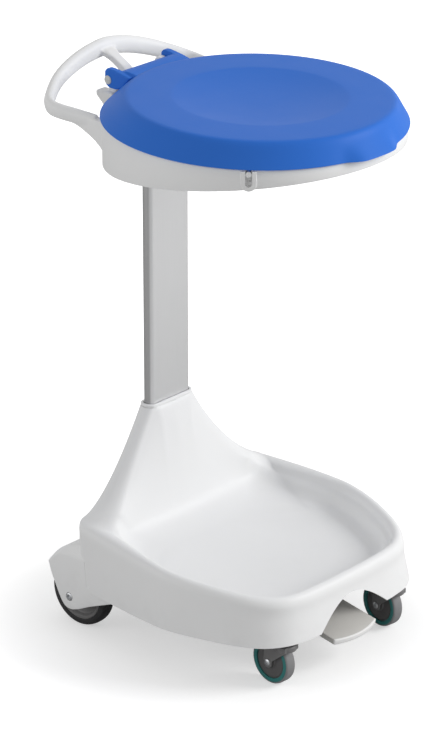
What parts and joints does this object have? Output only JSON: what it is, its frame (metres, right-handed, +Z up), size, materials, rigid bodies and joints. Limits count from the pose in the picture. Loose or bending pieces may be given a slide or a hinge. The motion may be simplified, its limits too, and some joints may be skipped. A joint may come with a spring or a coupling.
{
  "type": "waste sack holder",
  "caption": "Pedal-operated waste sack holder: tray base on wheels and swivel casters, flat column, sack ring with push handle, hinged round lid.",
  "frame": {"origin": "centre of the footprint's bounding box, on the floor under the wheels", "axes": "+Z up, the pedal towards -Y, the push handle and column towards +Y"},
  "size_m": [0.454, 0.55, 0.8831],
  "materials": {
    "white_plastic": "smooth gloss",
    "blue_plastic": "smooth gloss",
    "aluminium": "satin anodised",
    "steel": "satin",
    "dark_grey_plastic": "fine matt",
    "black_rubber": "matt",
    "grey_rubber": "matt",
    "teal_plastic": "satin",
    "grey_plastic": "satin"
  },
  "bodies": {
    "frame": {"base_screw_1": "steel", "base_screw_2": "steel", "base_screw_3": "steel", "base_screw_4": "steel", "base_shell": "white_plastic", "caster_socket_left": "steel", "caster_socket_right": "steel", "chassis_plate": "steel", "column": "aluminium", "column_foot": "dark_grey_plastic", "column_head": "dark_grey_plastic", "foot_screw_left": "steel", "foot_screw_right": "steel", "hinge_pin_left": "grey_plastic", "hinge_pin_right": "grey_plastic", "neck_collar": "white_plastic", "pedal_bracket": "steel", "pedal_pivot_pin": "steel", "rear_axle_left": "steel", "rear_axle_right": "steel", "rear_nut_left": "steel", "rear_nut_right": "steel", "ring_screw_left": "steel", "ring_screw_right": "steel", "rod_guide_lower": "grey_plastic", "rod_guide_upper": "grey_plastic", "sack_hoop": "steel", "sack_ring": "white_plastic"},
    "lid": {"lid": "blue_plastic"},
    "pedal": {"pedal_lever": "steel", "pedal_pad": "grey_plastic", "pedal_screw_1": "steel", "pedal_screw_2": "steel"},
    "push_rod": {"push_rod": "steel", "rod_head": "dark_grey_plastic"},
    "caster_fork_left": {"caster_fork_left": "dark_grey_plastic", "caster_kingpin_left": "steel", "caster_axle_left": "steel"},
    "caster_wheel_left": {"caster_tread_left": "grey_rubber", "caster_band_left": "teal_plastic", "caster_hub_left": "dark_grey_plastic"},
    "rear_wheel_left": {"rear_tyre_left": "black_rubber", "rear_rim_left": "dark_grey_plastic", "rear_bush_left": "grey_plastic"},
    "caster_fork_right": {"caster_fork_right": "dark_grey_plastic", "caster_kingpin_right": "steel", "caster_axle_right": "steel"},
    "caster_wheel_right": {"caster_tread_right": "grey_rubber", "caster_band_right": "teal_plastic", "caster_hub_right": "dark_grey_plastic"},
    "rear_wheel_right": {"rear_tyre_right": "black_rubber", "rear_rim_right": "dark_grey_plastic", "rear_bush_right": "grey_plastic"}
  },
  "joints": [
    {"name": "lid_hinge", "type": "hinge", "parent": "frame", "child": "lid", "pos_m": [0, 0.1925, 0.8475], "axis": [-1, 0, 0], "range_deg": [0, 70]},
    {"name": "pedal_pivot", "type": "hinge", "parent": "frame", "child": "pedal", "pos_m": [0, -0.123, 0.045], "axis": [1, 0, 0], "range_deg": [0, 14.4]},
    {"name": "push_rod_slide", "type": "slide", "parent": "frame", "child": "push_rod", "axis": [0, 0, 1], "range_m": [0, 0.069]},
    {"name": "caster_swivel_left", "type": "hinge", "parent": "frame", "child": "caster_fork_left", "pos_m": [-0.128, -0.211, 0.062], "axis": [0, 0, 1], "continuous": true},
    {"name": "caster_spin_left", "type": "hinge", "parent": "caster_fork_left", "child": "caster_wheel_left", "pos_m": [-0.12657, -0.18754, 0.036], "axis": [0.9981, -0.061, 0], "continuous": true},
    {"name": "rear_spin_left", "type": "hinge", "parent": "frame", "child": "rear_wheel_left", "pos_m": [-0.168, 0.163, 0.055], "axis": [1, 0, 0], "continuous": true},
    {"name": "caster_swivel_right", "type": "hinge", "parent": "frame", "child": "caster_fork_right", "pos_m": [0.128, -0.211, 0.062], "axis": [0, 0, 1], "continuous": true},
    {"name": "caster_spin_right", "type": "hinge", "parent": "caster_fork_right", "child": "caster_wheel_right", "pos_m": [0.13127, -0.18773, 0.036], "axis": [0.9903, -0.1392, 0], "continuous": true},
    {"name": "rear_spin_right", "type": "hinge", "parent": "frame", "child": "rear_wheel_right", "pos_m": [0.168, 0.163, 0.055], "axis": [1, 0, 0], "continuous": true}
  ],
  "couplings": [
    {"joint": "pedal_pivot", "follows": "lid_hinge", "ratio": 0.20571},
    {"joint": "push_rod_slide", "follows": "lid_hinge", "m_per_rad": 0.056477}
  ]
}
